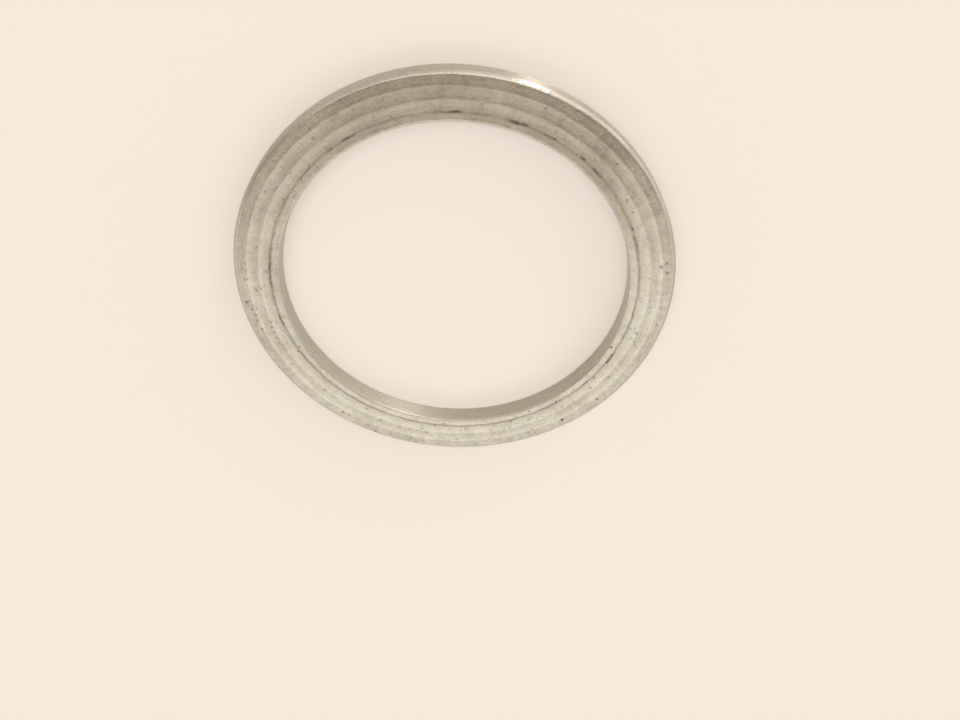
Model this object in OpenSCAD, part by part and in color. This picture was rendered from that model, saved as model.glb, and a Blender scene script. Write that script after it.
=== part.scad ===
// Hub centric ring: one turned aluminium ring that fills the gap between a hub's spigot
// and the larger centre bore of a wheel, so that the wheel sits true on the hub.
// Millimetres. The origin is the centre of the back face, and +Z leaves the front face.

/* [Ring] */
// Inside diameter, which slides on the hub's spigot
inner_d = 58.1; // [48:0.1:78]
// Wall between the bore and the outside, which takes the ring out to the wheel's centre bore
wall_w = 7.5; // [3:0.05:13]
// Thickness, from the back face to the ridges of the front face
ring_t = 3.5; // [2.5:0.1:12]

/* [Edges] */
// Chamfer on the front outer edge
rim_chamfer = 0.5; // [0.2:0.05:0.9]
// Lead-in chamfer on the back outer edge, which starts the ring into the wheel
lead_in = 0.85; // [0.3:0.05:1.2]
// Small chamfer on the bore's front edge
bore_break = 0.2; // [0.05:0.05:0.5]
// Small chamfer on the bore's back edge, where the spigot enters
spigot_break = 0.2; // [0.05:0.05:0.5]

/* [Front face] */
// Width of one facing pass, stepped inwards from the outside diameter
pass_w = 2.08; // [1.2:0.02:4]
// How far a facing pass drops from its outer end to its inner end
pass_drop = 0.05; // [0.02:0.01:0.12]
// Width of the groove that the tool left where the last pass ends
groove_w = 0.5; // [0.2:0.05:0.8]
// Depth of that groove
groove_d = 0.15; // [0.1:0.01:0.4]
// How far the narrow band between the groove and the bore drops towards the bore
land_drop = 0.02; // [0.01:0.01:0.1]

/* [Hidden] */
bore_r = inner_d / 2;
outer_r = bore_r + wall_w;

// The narrowest band that a facing pass leaves next to the bore
land_min = 0.5;
pass_count = floor((wall_w - bore_break - land_min) / pass_w);

// The groove's deepest point lies this share of its width out from the ridge
groove_lean = 0.45;

round_fn = 240;

// Radius of the ridge where one facing pass ends and the next begins
function ridge_r(i) = outer_r - i * pass_w;

// A section point: distance from the axis, then height above the back face
function at_back(r, h) = [r, h];
function below_front(r, depth) = [r, ring_t - depth];

// Back face, from the bore's edge out to the lead-in
function back_side() = [
    at_back(bore_r, spigot_break),
    at_back(bore_r + spigot_break, 0),
    at_back(outer_r - lead_in, 0)
];

// Seat that the wheel bears on, between the two outer chamfers
function seat_side() = [
    at_back(outer_r, lead_in),
    below_front(outer_r, rim_chamfer)
];

// End of one facing pass: a plain step up to the ridge, or the groove at the last one
function pass_end(i) =
    i < pass_count
        ? [below_front(ridge_r(i), pass_drop),
           below_front(ridge_r(i), 0)]
        : [below_front(ridge_r(i) + groove_w, pass_drop),
           below_front(ridge_r(i) + groove_w * groove_lean, groove_d),
           below_front(ridge_r(i), 0)];

// Front face, from the rim's chamfer in to the bore, one pass after another
function front_side() = concat(
    [below_front(outer_r - rim_chamfer, 0)],
    [for (i = [1:1:pass_count], p = pass_end(i)) p],
    [below_front(bore_r + bore_break, land_drop),
     below_front(bore_r, land_drop + bore_break)]
);

module ring_section() {
    polygon(concat(back_side(), seat_side(), front_side()));
}

module hub_ring() {
    color([0.72, 0.69, 0.62])
        rotate_extrude($fn = round_fn)
            ring_section();
}

hub_ring();
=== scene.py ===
import math

import bpy
import numpy as np
from mathutils import Matrix, Vector


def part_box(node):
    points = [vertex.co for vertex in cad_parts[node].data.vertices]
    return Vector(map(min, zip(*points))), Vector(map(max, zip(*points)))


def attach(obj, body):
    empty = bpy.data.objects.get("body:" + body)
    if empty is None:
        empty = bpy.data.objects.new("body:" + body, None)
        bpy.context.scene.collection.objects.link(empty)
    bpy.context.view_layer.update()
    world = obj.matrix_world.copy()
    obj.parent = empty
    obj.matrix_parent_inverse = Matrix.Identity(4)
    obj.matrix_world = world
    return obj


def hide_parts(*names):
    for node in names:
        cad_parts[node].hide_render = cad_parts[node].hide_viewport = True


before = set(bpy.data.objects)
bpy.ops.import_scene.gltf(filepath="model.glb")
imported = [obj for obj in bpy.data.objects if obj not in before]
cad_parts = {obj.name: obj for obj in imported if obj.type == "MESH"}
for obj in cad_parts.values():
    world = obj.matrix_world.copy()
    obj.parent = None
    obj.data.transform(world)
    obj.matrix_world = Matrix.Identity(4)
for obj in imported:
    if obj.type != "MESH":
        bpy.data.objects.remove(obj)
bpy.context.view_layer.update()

# Camera
# In the photograph the ring's front face leans back, seen from above its upper rim. The ring
# lies flat here, so the camera keeps its place relative to the ring.
MM = 0.001
ring_low, ring_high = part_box("hub_ring")
front_z = ring_high.z

camera_data = bpy.data.cameras.new("camera")
camera_data.sensor_fit = "HORIZONTAL"
camera_data.sensor_width = 36.0
camera_data.lens = 30.0
camera = bpy.data.objects.new("camera", camera_data)
bpy.context.scene.collection.objects.link(camera)
bpy.context.scene.camera = camera

camera_place = Vector((7.24 * MM, 73.0 * MM, front_z + 112.28 * MM))
look_at = Vector((4.07 * MM, -14.6 * MM, front_z))
picture_roll = math.radians(0.79)
picture_up = Vector((math.sin(picture_roll), math.cos(picture_roll), 0.0))
backward = (camera_place - look_at).normalized()
rightward = picture_up.cross(backward).normalized()
upward = backward.cross(rightward)
turn = Matrix((rightward, upward, backward)).transposed()
camera.matrix_world = Matrix.Translation(camera_place) @ turn.to_4x4()

# Hub centric ring: the turned blank
# One flat ring turned from aluminium bar: faced at the front in passes one tool wide, bored,
# turned outside and chamfered at its four edges, the back outer one widest as a lead-in.
outer_r = ring_high.x
ring_t = ring_high.z - ring_low.z
wall_w = 7.5 * MM
bore_r = outer_r - wall_w
rim_chamfer = 0.5 * MM
lead_in = 0.85 * MM
edge_break = 0.2 * MM
pass_w = 2.08 * MM
groove_w = 0.5 * MM
groove_lean = 0.45
first_ridge_r = outer_r - pass_w
second_ridge_r = first_ridge_r - pass_w
groove_r = second_ridge_r - pass_w

# Wear has rounded each corner of the section and lowered its steps, and grime has filled most
# of the groove. The tool chattered, which moves each ridge in and out as it goes round.
EDGE_WEAR = 0.07 * MM
RIM_WEAR = 0.22 * MM
BORE_WEAR = 0.03 * MM
RIDGE_WEAR = 0.1 * MM
STEP_DROP = 0.02 * MM
STEP_TOP = 0.1 * MM
STEP_FOOT = 0.4 * MM
FLAT_END = 1.1 * MM
GROOVE_DEPTH_LEFT = 0.028 * MM
CHATTER = 0.09 * MM
NICKS = 0.035 * MM

# The section's corners, once round: distance from the axis, height, wear and chatter
corners = [
    (bore_r, edge_break, EDGE_WEAR, 0.0),
    (bore_r + edge_break, 0.0, EDGE_WEAR, 0.0),
    (outer_r - lead_in, 0.0, EDGE_WEAR, 0.0),
    (outer_r, lead_in, EDGE_WEAR, 0.0),
    (outer_r, ring_t - rim_chamfer, RIM_WEAR, 0.0),
    (outer_r - rim_chamfer, ring_t - STEP_DROP, RIM_WEAR, NICKS),
    (first_ridge_r + STEP_FOOT, ring_t - STEP_DROP, RIDGE_WEAR, CHATTER),
    (first_ridge_r - STEP_TOP, ring_t, RIDGE_WEAR, CHATTER),
    (second_ridge_r + STEP_FOOT, ring_t - STEP_DROP, RIDGE_WEAR, CHATTER),
    (second_ridge_r - STEP_TOP, ring_t, RIDGE_WEAR, CHATTER),
    (groove_r + FLAT_END, ring_t - STEP_DROP, RIDGE_WEAR, 0.0),
    (groove_r + groove_w, ring_t - STEP_DROP, RIDGE_WEAR, CHATTER),
    (groove_r + groove_lean * groove_w, ring_t - GROOVE_DEPTH_LEFT, RIDGE_WEAR, CHATTER),
    (groove_r, ring_t - STEP_DROP, RIDGE_WEAR, CHATTER),
    (bore_r + edge_break, ring_t, BORE_WEAR, 0.0),
    (bore_r, ring_t - edge_break, EDGE_WEAR, 0.0),
]

# A worn corner takes at most this share of each side, and mesh edges are kept finer on the
# part of the section that lies this close to the front face.
WORN_SHARE = 0.4
FINE_DEPTH = 0.1 * MM


def worn_section(corners, front_step, plain_step):
    """Points round the section, with its corners worn round and its long stretches cut up."""
    points = []
    for i, (r, z, wear, chatter) in enumerate(corners):
        here = np.array([r, z])
        before = np.array(corners[i - 1][:2]) - here
        after = np.array(corners[(i + 1) % len(corners)][:2]) - here
        room = WORN_SHARE * min(np.linalg.norm(before), np.linalg.norm(after))
        reach = min(wear, room)
        start = here + before / np.linalg.norm(before) * reach
        end = here + after / np.linalg.norm(after) * reach
        for s in np.linspace(0.0, 1.0, 2 + round(wear / EDGE_WEAR)):
            bend = (1 - s) ** 2 * start + 2 * s * (1 - s) * here + s * s * end
            points.append([*bend, chatter])
    fine = []
    for i, point in enumerate(points):
        step = np.subtract(points[(i + 1) % len(points)], point)
        longest = front_step if point[1] > ring_t - FINE_DEPTH else plain_step
        cuts = max(1, math.ceil(np.linalg.norm(step[:2]) / longest))
        for k in range(cuts):
            fine.append(np.add(point, step * k / cuts))
    return np.array(fine)


section = worn_section(corners, front_step=0.25 * MM, plain_step=0.9 * MM)
around_count = 1024
angle = np.linspace(0, 2 * math.pi, around_count, endpoint=False)
grid_angle = np.repeat(angle[:, None], len(section), axis=1)
grid_r = np.repeat(section[None, :, 0], around_count, axis=0)
grid_z = np.repeat(section[None, :, 1], around_count, axis=0)

rng = np.random.default_rng(seed=7)


def uneven_wave(counts):
    """A smooth wave round the ring from -1 to 1, made of the given numbers of waves."""
    wave = np.zeros(around_count)
    for count in counts:
        wave += np.sin(count * angle + rng.uniform(0, 2 * math.pi))
    return wave / np.abs(wave).max()


# Chatter moves the metal this near to a ridge, and nicks mark the rim this near to the outside.
RIDGE_REACH = 0.8 * MM
RIM_REACH = 0.75 * MM
CHATTER_WAVES = (9, 17, 31, 47, 83, 131)
for lane_r in (first_ridge_r, second_ridge_r, groove_r):
    wave = uneven_wave(CHATTER_WAVES)
    in_lane = np.abs(section[:, 0] - lane_r) < RIDGE_REACH
    grid_r += wave[:, None] * (section[:, 2] * in_lane)[None, :]
at_rim = section[:, 0] > outer_r - RIM_REACH
grid_r += rng.uniform(-1, 1, around_count)[:, None] * (section[:, 2] * at_rim)[None, :]

# How light the metal is left across the face: each pass darkens from its outer end to its
# inner end, and the outermost is the darkest. Distance from the axis in millimetres, lightness.
PASS_TONES = [
    (29.0, 0.42), (29.5, 0.48), (30.1, 0.55), (30.3, 0.47), (30.6, 0.43), (30.85, 0.46),
    (31.2, 0.5), (31.8, 0.57), (32.2, 0.62), (32.38, 0.63), (32.47, 0.45), (33.0, 0.43),
    (33.4, 0.48), (34.0, 0.57), (34.2, 0.62), (34.35, 0.63), (34.44, 0.41), (34.8, 0.41),
    (35.3, 0.41), (36.1, 0.38),
]
tone_radii, tones = zip(*PASS_TONES)
pass_tone = np.tile(np.interp(section[:, 0] / MM, tone_radii, tones), (around_count, 1))

# Hub centric ring: grime, pits and painted light
# Grime has settled in the groove in broken dashes, and small pits and specks lie over the face.
# Broad sectors of the face are painted lighter or darker for the light they reflect. Angles are
# in degrees from the right-hand side of the picture, anticlockwise.

# Dashes of grime as angle, half length in degrees, darkness, and spread in millimetres
GROOVE_GRIME = [
    (16.5, 5.5, 0.6, 0.25), (43.5, 3, 0.85, 0.25), (49.5, 1.4, 0.95, 0.25),
    (55, 3, 0.4, 0.2), (61, 3.5, 0.8, 0.22), (70.6, 5.2, 0.85, 0.38), (81, 6, 0.5, 0.22),
    (89.5, 6.2, 0.85, 0.28), (105.5, 8, 0.6, 0.2), (119, 4.5, 0.8, 0.25),
    (125.5, 1.8, 0.8, 0.25), (134, 8, 0.55, 0.2), (146, 5, 0.5, 0.2), (155, 4, 0.4, 0.2),
    (166, 4, 0.6, 0.22), (173.5, 8, 0.8, 0.2), (191, 3.5, 0.85, 0.18), (207, 8, 0.55, 0.16),
    (232, 10, 0.5, 0.16), (241, 3, 0.55, 0.18), (257, 4, 0.45, 0.18), (287, 6, 0.55, 0.18),
    (302, 3, 0.5, 0.15), (319.5, 1.4, 0.6, 0.2), (332, 3.6, 0.85, 0.2), (351, 2.5, 0.75, 0.16),
]
# Sectors of painted light and shade as angle, half width in degrees, and how much lighter they
# leave the metal
PAINTED_LIGHT_SECTORS = [(46, 24, -0.11), (359, 18, 0.11), (112, 14, -0.06), (200, 14, -0.05)]
# Single dark pits as angle, distance from the axis in millimetres, and size in millimetres
DARK_PITS = [
    (183.5, 35.4, 0.34), (303.8, 34.8, 0.4), (231, 34.8, 0.26), (243, 35.8, 0.26),
    (336.6, 29.5, 0.34), (317, 34.9, 0.26), (5.6, 35.1, 0.3), (8.7, 35.1, 0.26),
    (7.7, 34.1, 0.34), (41.9, 33.6, 0.28), (37.5, 35.0, 0.24), (81, 32.1, 0.26),
    (125.6, 34.7, 0.3), (61.9, 35.4, 0.24), (65.6, 34.0, 0.3), (54, 33.2, 0.24),
    (186, 34.9, 0.22), (188, 34.6, 0.22), (190, 34.8, 0.2), (193, 34.6, 0.2),
    (191, 32.6, 0.18), (193, 32.75, 0.18), (195, 32.85, 0.17), (197, 33.0, 0.2),
    (199, 33.1, 0.18),
]
# A pit spreads a little past its dark middle, and the deepest pits are quite full of grime.
PIT_MARGIN = 1.15
DARK_PIT_DEPTH = 0.05 * MM
PIT_GRIME = 1.2
# Small pits lie anywhere on the face but close to its two edges.
SMALL_PIT_COUNT = 220
SMALL_PIT_SIZES = (0.2 * MM, 0.34 * MM)
SMALL_PIT_DEPTHS = (0.01 * MM, 0.04 * MM)
PITLESS_AT_BORE = 0.4 * MM
PITLESS_AT_RIM = 0.8 * MM


def nearness(angle_deg, half_width_deg):
    """1 at that angle round the ring, falling to 0 at the half width from it."""
    full_turn = 2 * math.pi
    away = (grid_angle - math.radians(angle_deg) + math.pi) % full_turn - math.pi
    return np.clip(1 - np.degrees(np.abs(away)) / half_width_deg, 0, 1)


# The groove's middle wanders a little, and its grime is thinner in some places.
GROOVE_MIDDLE = 0.26 * MM
GROOVE_WANDER = 0.08 * MM
GROOVE_WAVES = (23, 41, 77)
GRIME_WAVES = (61, 97, 143, 211)
FRONT_DEPTH = 0.25 * MM
on_front = grid_z > ring_t - FRONT_DEPTH
groove_centre = groove_r + GROOVE_MIDDLE + GROOVE_WANDER * uneven_wave(GROOVE_WAVES)
from_groove = np.abs(grid_r - groove_centre[:, None])
broken = (1 + uneven_wave(GRIME_WAVES)[:, None]) / 2


def along_groove(spread):
    """1 on the groove's line on the front face, fading out over the spread."""
    return np.exp(-((from_groove / spread) ** 2)) * on_front


# Grime lies thinly all along the groove. A dash of it is even in its middle, fades out at its
# ends and is patchy throughout.
THIN_GRIME = 0.24
THIN_GRIME_PATCHES = 0.26
THIN_GRIME_SPREAD = 0.2 * MM
DASH_FLATNESS = 1.8
DASH_LEAST = 0.8
DASH_PATCHES = 0.4
grime = (THIN_GRIME + THIN_GRIME_PATCHES * broken) * along_groove(THIN_GRIME_SPREAD)
for centre, half_width, strength, spread in GROOVE_GRIME:
    dash = np.minimum(DASH_FLATNESS * nearness(centre, half_width), 1)
    dash *= strength * (DASH_LEAST + DASH_PATCHES * broken)
    grime = np.maximum(grime, dash * along_groove(spread * MM))
# Painted light and shade: broad sectors of the face are made lighter or darker here.
for centre, half_width, lighter in PAINTED_LIGHT_SECTORS:
    pass_tone += lighter * nearness(centre, half_width)

pit_depth = np.zeros_like(grid_r)


def press_pit(angle_deg, pit_r, size, depth):
    """Sink a round pit into the front face."""
    aside = nearness(angle_deg, math.degrees(size / pit_r))
    along = np.clip(1 - np.abs(grid_r - pit_r) / size, 0, 1)
    np.maximum(pit_depth, aside * along * depth * on_front, out=pit_depth)


for pit_angle, pit_r, size in DARK_PITS:
    press_pit(pit_angle, pit_r * MM, size * PIT_MARGIN * MM, DARK_PIT_DEPTH)
for _ in range(SMALL_PIT_COUNT):
    pit_r = rng.uniform(bore_r + PITLESS_AT_BORE, outer_r - PITLESS_AT_RIM)
    pit_angle = rng.uniform(0, 360)
    press_pit(pit_angle, pit_r, rng.uniform(*SMALL_PIT_SIZES), rng.uniform(*SMALL_PIT_DEPTHS))
grime = np.clip(grime + PIT_GRIME * pit_depth / DARK_PIT_DEPTH, 0, 1)

tangent = np.roll(section, -1, axis=0) - np.roll(section, 1, axis=0)
section_normal = np.stack([tangent[:, 1], -tangent[:, 0]], axis=1)
section_normal /= np.linalg.norm(section_normal, axis=1)[:, None]
grid_r = grid_r - section_normal[None, :, 0] * pit_depth
grid_z = grid_z - section_normal[None, :, 1] * pit_depth

ring_points = np.stack(
    [grid_r * np.cos(grid_angle), grid_r * np.sin(grid_angle), grid_z], axis=-1
).reshape(-1, 3)
here = np.arange(grid_r.size).reshape(grid_r.shape)
next_around = np.roll(here, -1, axis=0)
next_along = np.roll(here, -1, axis=1)
next_both = np.roll(next_around, -1, axis=1)
quads = np.stack([here, next_around, next_both, next_along], axis=-1).reshape(-1, 4)

ring_mesh = bpy.data.meshes.new("turned_ring")
ring_mesh.from_pydata(ring_points.tolist(), [], quads.tolist())
ring_mesh.polygons.foreach_set("use_smooth", [True] * len(quads))
for layer_name, layer in (("grime", grime), ("pass_tone", pass_tone)):
    attribute = ring_mesh.attributes.new(layer_name, "FLOAT", "POINT")
    attribute.data.foreach_set("value", layer.astype(np.float32).ravel())
ring = bpy.data.objects.new("turned_ring", ring_mesh)
bpy.context.scene.collection.objects.link(ring)

# Hub centric ring: the faced front and the back
# Bare aluminium left dull by a coarse facing cut and by years of salt and brake dust: a grey
# grain with darker and warmer patches, each pass darker towards its inner end.


class Wire:
    """An output socket in a material. Arithmetic on wires adds Math nodes."""

    def __init__(self, tree, socket=None):
        self.tree = tree
        self.socket = socket

    def node(self, kind, settings, inputs, output=0):
        """Add a node. Its settings, such as a ramp's stops, come before its sockets."""
        made = self.tree.nodes.new(kind)
        for name, value in settings.items():
            if name == "stops":
                ramp = made.color_ramp
                while len(ramp.elements) < len(value):
                    ramp.elements.new(1.0)
                for element, (place, colour) in zip(ramp.elements, value):
                    element.position = place
                    element.color = colour
            else:
                setattr(made, name, value)
        for name, value in inputs.items():
            if isinstance(value, Wire):
                self.tree.links.new(value.socket, made.inputs[name])
            else:
                made.inputs[name].default_value = value
        return Wire(self.tree, made.outputs[output] if made.outputs else None)

    def math(self, operation, *values):
        return self.node("ShaderNodeMath", {"operation": operation}, dict(enumerate(values)))

    def __add__(self, other):
        return self.math("ADD", self, other)

    __radd__ = __add__

    def __sub__(self, other):
        return self.math("SUBTRACT", self, other)

    def __rsub__(self, other):
        return self.math("SUBTRACT", other, self)

    def __mul__(self, other):
        return self.math("MULTIPLY", self, other)

    __rmul__ = __mul__


def srgb(red, green, blue):
    """A colour as the eye gives it, 0 to 255, in the linear values that shaders use."""
    return tuple(((v / 255 + 0.055) / 1.055) ** 2.4 for v in (red, green, blue)) + (1.0,)


def bare_material(name):
    """A new material without nodes, and a wire to start its nodes from."""
    material = bpy.data.materials.new(name)
    material.use_nodes = True
    material.node_tree.nodes.clear()
    return material, Wire(material.node_tree)


def ring_place(w):
    """Where a point lies on the ring: its place in millimetres, and its x, y and z."""
    place = w.node("ShaderNodeTexCoord", {}, {}, "Object")
    place_mm = w.node("ShaderNodeVectorMath", {"operation": "SCALE"}, {0: place, "Scale": 1 / MM})
    along = [w.node("ShaderNodeSeparateXYZ", {}, {0: place_mm}, axis) for axis in "XYZ"]
    return place_mm, *along


def noise(at, scale, detail, roughness):
    """Blender's noise at a place in millimetres, around a middle of 0."""
    sockets = {"Vector": at, "Scale": scale, "Detail": detail, "Roughness": roughness}
    return at.node("ShaderNodeTexNoise", {}, sockets) - 0.5


# How fast the cut's streaks change outwards over the face and round the ring
STREAKS_OUTWARDS = 3.0
STREAKS_ROUND = 9.0
# How strongly each mark lightens or darkens the metal
GRAIN_SHADE = 0.5
FINE_GRAIN_SHADE = 0.35
CLOUD_SHADE = 0.3
PATCH_SHADE = 0.5
STREAK_SHADE = 0.3
# Where the noise is above this, there is a dark speck.
SPECK_LEVEL = 0.235
SPECK_DARKNESS = 0.45
# How far the grain breaks up the grime, and how much the grime hides, dulls and roughens
GRIME_GRAIN = 1.5
GRIME_COVER = 0.95
GRIME_DULLS = 0.6
GRIME_ROUGHENS = 0.4
FACED_ROUGHNESS = 0.33

faced, w = bare_material("faced_aluminium")
place_mm, x, y, z = ring_place(w)
radius = w.math("SQRT", x * x + y * y)
around = w.math("ARCTAN2", y, x)
cut_sockets = {"X": radius * STREAKS_OUTWARDS, "Y": around * STREAKS_ROUND, "Z": z}
along_cut = w.node("ShaderNodeCombineXYZ", {}, cut_sockets)
grain = noise(place_mm, scale=2.6, detail=3.0, roughness=0.7)
fine_grain = noise(place_mm, scale=7.0, detail=1.0, roughness=0.5)
clouds = noise(place_mm, scale=0.9, detail=2.0, roughness=0.5)
patches = noise(place_mm, scale=0.22, detail=3.0, roughness=0.6)
tool_streaks = noise(along_cut, scale=1.0, detail=3.0, roughness=0.6)
warmth = noise(place_mm, scale=0.45, detail=3.0, roughness=0.65)
spots = noise(place_mm, scale=2.4, detail=1.0, roughness=0.5)
speck = w.math("GREATER_THAN", spots, SPECK_LEVEL)

# The tone holds each pass's own tone and the painted light and shade of the face's sectors.
tone = (
    w.node("ShaderNodeAttribute", {"attribute_name": "pass_tone"}, {}, "Fac")
    + GRAIN_SHADE * grain
    + FINE_GRAIN_SHADE * fine_grain
    + CLOUD_SHADE * clouds
    + PATCH_SHADE * patches
    + STREAK_SHADE * tool_streaks
)
grey_stops = [
    (0.0, srgb(132, 124, 110)),
    (0.5, srgb(198, 191, 176)),
    (1.0, srgb(238, 234, 224)),
]
face_grey = w.node("ShaderNodeValToRGB", {"stops": grey_stops}, {"Fac": tone})
warm_grey = w.node(
    "ShaderNodeMix",
    {"data_type": "RGBA", "blend_type": "MULTIPLY"},
    {"Factor": 0.5 + warmth, "A": face_grey, "B": srgb(250, 243, 226)},
    "Result",
)
settled = w.node("ShaderNodeAttribute", {"attribute_name": "grime"}, {}, "Fac")
broken_grime = settled * (1.0 + GRIME_GRAIN * grain + GRIME_GRAIN * clouds)
dirt = w.math("MAXIMUM", broken_grime, speck * SPECK_DARKNESS)
face_colour = w.node(
    "ShaderNodeMix",
    {"data_type": "RGBA"},
    {"Factor": dirt * GRIME_COVER, "A": warm_grey, "B": srgb(78, 70, 57)},
    "Result",
)
cut_height = grain + 0.5 * fine_grain
rough_cut = w.node(
    "ShaderNodeBump", {}, {"Strength": 0.4, "Distance": 0.03 * MM, "Height": cut_height}
)
metal = w.node(
    "ShaderNodeBsdfPrincipled",
    {},
    {
        "Base Color": face_colour,
        "Metallic": 1 - GRIME_DULLS * dirt,
        "Roughness": FACED_ROUGHNESS + GRIME_ROUGHENS * dirt,
        "Normal": rough_cut,
    },
)
w.node("ShaderNodeOutputMaterial", {}, {"Surface": metal})

# Hub centric ring: the outside, the bore and the chamfers
# These were turned last with a fine feed, so they keep a brighter, closer finish whose fine
# rings draw highlights out across the edge. The bore is a little coarser than the outside.

# How fast the feed lines change round the ring and up its walls, and how strongly they and
# the grain lighten or darken the metal
FEED_ROUND = 3.0
FEED_UP = 14.0
FEED_SHADE = 0.5
TURNED_GRAIN_SHADE = 0.6


def fine_turned_finish(name, roughness, anisotropic):
    """Aluminium with feed lines that run round the ring."""
    material, w = bare_material(name)
    place_mm, x, y, z = ring_place(w)
    around = w.math("ARCTAN2", y, x)
    feed_sockets = {"X": around * FEED_ROUND, "Y": z * FEED_UP, "Z": 0.0}
    along_feed = w.node("ShaderNodeCombineXYZ", {}, feed_sockets)
    feed_lines = noise(along_feed, scale=1.0, detail=2.0, roughness=0.5)
    grain = noise(place_mm, scale=1.6, detail=4.0, roughness=0.7)
    colour = w.node(
        "ShaderNodeValToRGB",
        {"stops": [(0.0, srgb(156, 149, 136)), (1.0, srgb(220, 214, 202))]},
        {"Fac": 0.5 + FEED_SHADE * feed_lines + TURNED_GRAIN_SHADE * grain},
    )
    feed_bump = w.node(
        "ShaderNodeBump", {}, {"Strength": 0.3, "Distance": 0.01 * MM, "Height": feed_lines}
    )
    metal = w.node(
        "ShaderNodeBsdfPrincipled",
        {},
        {
            "Base Color": colour,
            "Metallic": 1.0,
            "Roughness": roughness,
            "Anisotropic": anisotropic,
            "Anisotropic Rotation": 0.25,
            "Normal": feed_bump,
        },
    )
    w.node("ShaderNodeOutputMaterial", {}, {"Surface": metal})
    return material


FACED, OUTSIDE, BORE, RIM = range(4)
finishes = {
    FACED: faced,
    OUTSIDE: fine_turned_finish("turned_outside", roughness=0.375, anisotropic=1.0),
    BORE: fine_turned_finish("bored_inside", roughness=0.47, anisotropic=0.8),
    RIM: fine_turned_finish("chamfered_rim", roughness=0.335, anisotropic=0.95),
}
for material in finishes.values():
    ring_mesh.materials.append(material)

# What lies within these depths of the front or the back belongs to that face.
FRONT_SKIN = 0.03 * MM
BACK_SKIN = 0.01 * MM
middle_r = (section[:, 0] + np.roll(section[:, 0], -1)) / 2
middle_z = (section[:, 1] + np.roll(section[:, 1], -1)) / 2
off_faces = (middle_z < ring_t - FRONT_SKIN) & (middle_z > BACK_SKIN)
outside = (middle_r > outer_r - lead_in) & off_faces
finish = np.full(len(section), FACED)
finish[middle_r < bore_r + edge_break] = BORE
finish[outside] = OUTSIDE
finish[outside & (middle_z > ring_t - rim_chamfer)] = RIM
ring_mesh.polygons.foreach_set("material_index", np.tile(finish, around_count))

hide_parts("hub_ring")
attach(ring, "root")

# Floor
# A plain pale table top that fills the picture behind the ring. Its own colour shows through a
# little as seen by the camera and in the metal, which keeps the ring's soft shadow light.
floor_half = 2.0
floor_gap = 0.02 * MM
shadow_fill = 0.35
table_colour = srgb(246, 235, 220)
floor_mesh = bpy.data.meshes.new("floor")
floor_mesh.from_pydata(
    [
        (-floor_half, -floor_half, 0.0),
        (floor_half, -floor_half, 0.0),
        (floor_half, floor_half, 0.0),
        (-floor_half, floor_half, 0.0),
    ],
    [],
    [(0, 1, 2, 3)],
)
floor = bpy.data.objects.new("floor", floor_mesh)
bpy.context.scene.collection.objects.link(floor)
floor.location.z = ring_low.z - floor_gap
floor_paint, w = bare_material("pale_table")
matt_paint = w.node(
    "ShaderNodeBsdfPrincipled",
    {},
    {"Base Color": srgb(234, 227, 217), "Roughness": 0.8, "Specular IOR Level": 0.0},
)
plain_paint = w.node("ShaderNodeEmission", {}, {"Color": table_colour, "Strength": 1.0})
seen = w.node("ShaderNodeLightPath", {}, {}, "Is Camera Ray")
mirrored = w.node("ShaderNodeLightPath", {}, {}, "Is Glossy Ray")
paint = w.node(
    "ShaderNodeMixShader", {}, {0: (seen + mirrored) * shadow_fill, 1: matt_paint, 2: plain_paint}
)
w.node("ShaderNodeOutputMaterial", {}, {"Surface": paint})
floor_mesh.materials.append(floor_paint)

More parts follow.
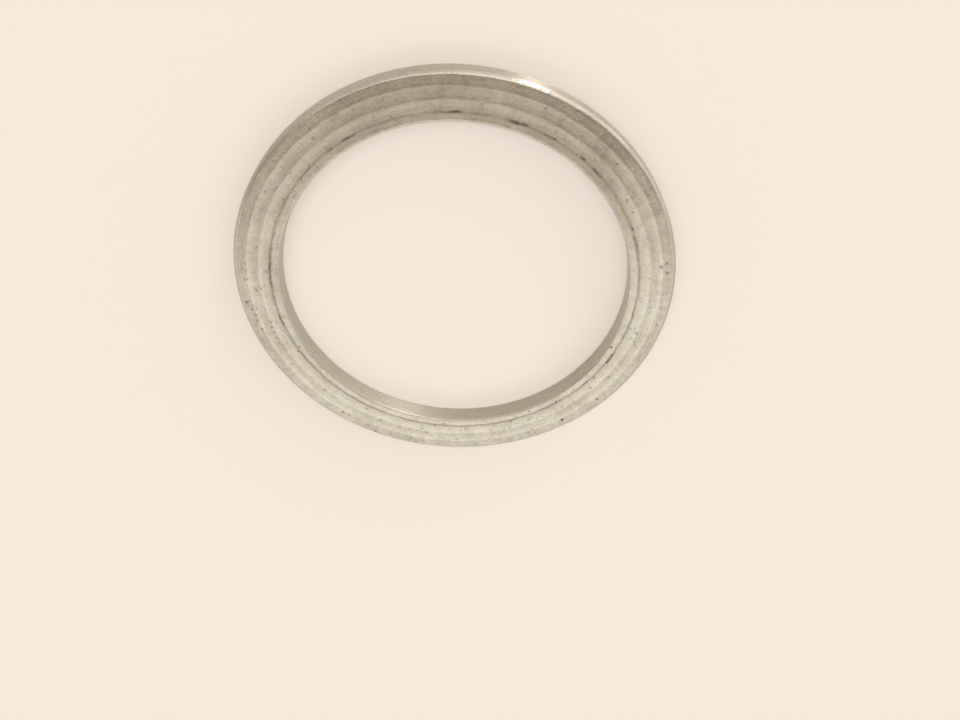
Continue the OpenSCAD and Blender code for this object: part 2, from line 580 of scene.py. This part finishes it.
# Light
# A soft sky, brighter beyond the far side of the table and pale as the table along the horizon.
# A tall window with one bright gap in it stands behind the camera's right shoulder, another
# window to its right, and two ceiling lamps hang above it and to its left.
BRIGHT_SIDE = (1.33, 1.35, 1.375, 1.0)
DIM_SIDE = (0.417, 0.342, 0.283, 1.0)
world = bpy.data.worlds.new("world")
bpy.context.scene.world = world
world.use_nodes = True
world.node_tree.nodes.clear()
w = Wire(world.node_tree)
direction = w.node("ShaderNodeTexCoord", {}, {}, "Generated")
dim_way = Vector((0.0, 0.8, 0.6))
towards_dim = w.node(
    "ShaderNodeVectorMath", {"operation": "DOT_PRODUCT"}, {0: direction, 1: dim_way}, "Value"
)
height = w.node("ShaderNodeSeparateXYZ", {}, {0: direction}, "Z")


def ease(value, low, high):
    """0 below low, 1 above high, and a smooth curve between."""
    sockets = {"Value": value, "From Min": low, "From Max": high}
    return value.node("ShaderNodeMapRange", {"interpolation_type": "SMOOTHSTEP"}, sockets)


upper_sky = w.node(
    "ShaderNodeMix",
    {"data_type": "RGBA"},
    {"Factor": ease(towards_dim, low=0.08, high=0.28), "A": BRIGHT_SIDE, "B": DIM_SIDE},
    "Result",
)
sky_colour = w.node(
    "ShaderNodeMix",
    {"data_type": "RGBA"},
    {"Factor": ease(height, low=0.28, high=0.5), "A": table_colour, "B": upper_sky},
    "Result",
)
sky = w.node("ShaderNodeBackground", {}, {"Color": sky_colour, "Strength": 1.0})
w.node("ShaderNodeOutputWorld", {}, {"Surface": sky})


def far_lamp(name, azimuth, elevation, width, radiance):
    """A round lamp so far off that it lights the whole table evenly. Angles are in degrees."""
    data = bpy.data.lights.new(name, "SUN")
    data.angle = math.radians(width)
    data.energy = radiance * math.pi * math.sin(data.angle / 2) ** 2
    lamp = bpy.data.objects.new(name, data)
    bpy.context.scene.collection.objects.link(lamp)
    bearing = math.radians(azimuth)
    rise = math.radians(elevation)
    level = math.cos(rise)
    towards = Vector((math.cos(bearing) * level, math.sin(bearing) * level, math.sin(rise)))
    lamp.rotation_euler = towards.to_track_quat("Z", "Y").to_euler()


far_lamp("window_gap", azimuth=62, elevation=9, width=8, radiance=40.0)
far_lamp("window", azimuth=42, elevation=10, width=42, radiance=1.55)
far_lamp("side_window", azimuth=8, elevation=17, width=40, radiance=0.95)
far_lamp("high_window", azimuth=64, elevation=44, width=44, radiance=0.9)
far_lamp("ceiling_lamp", azimuth=92, elevation=64, width=36, radiance=1.81)
far_lamp("second_ceiling_lamp", azimuth=143, elevation=55, width=34, radiance=1.16)

bpy.context.scene.view_settings.view_transform = "Standard"
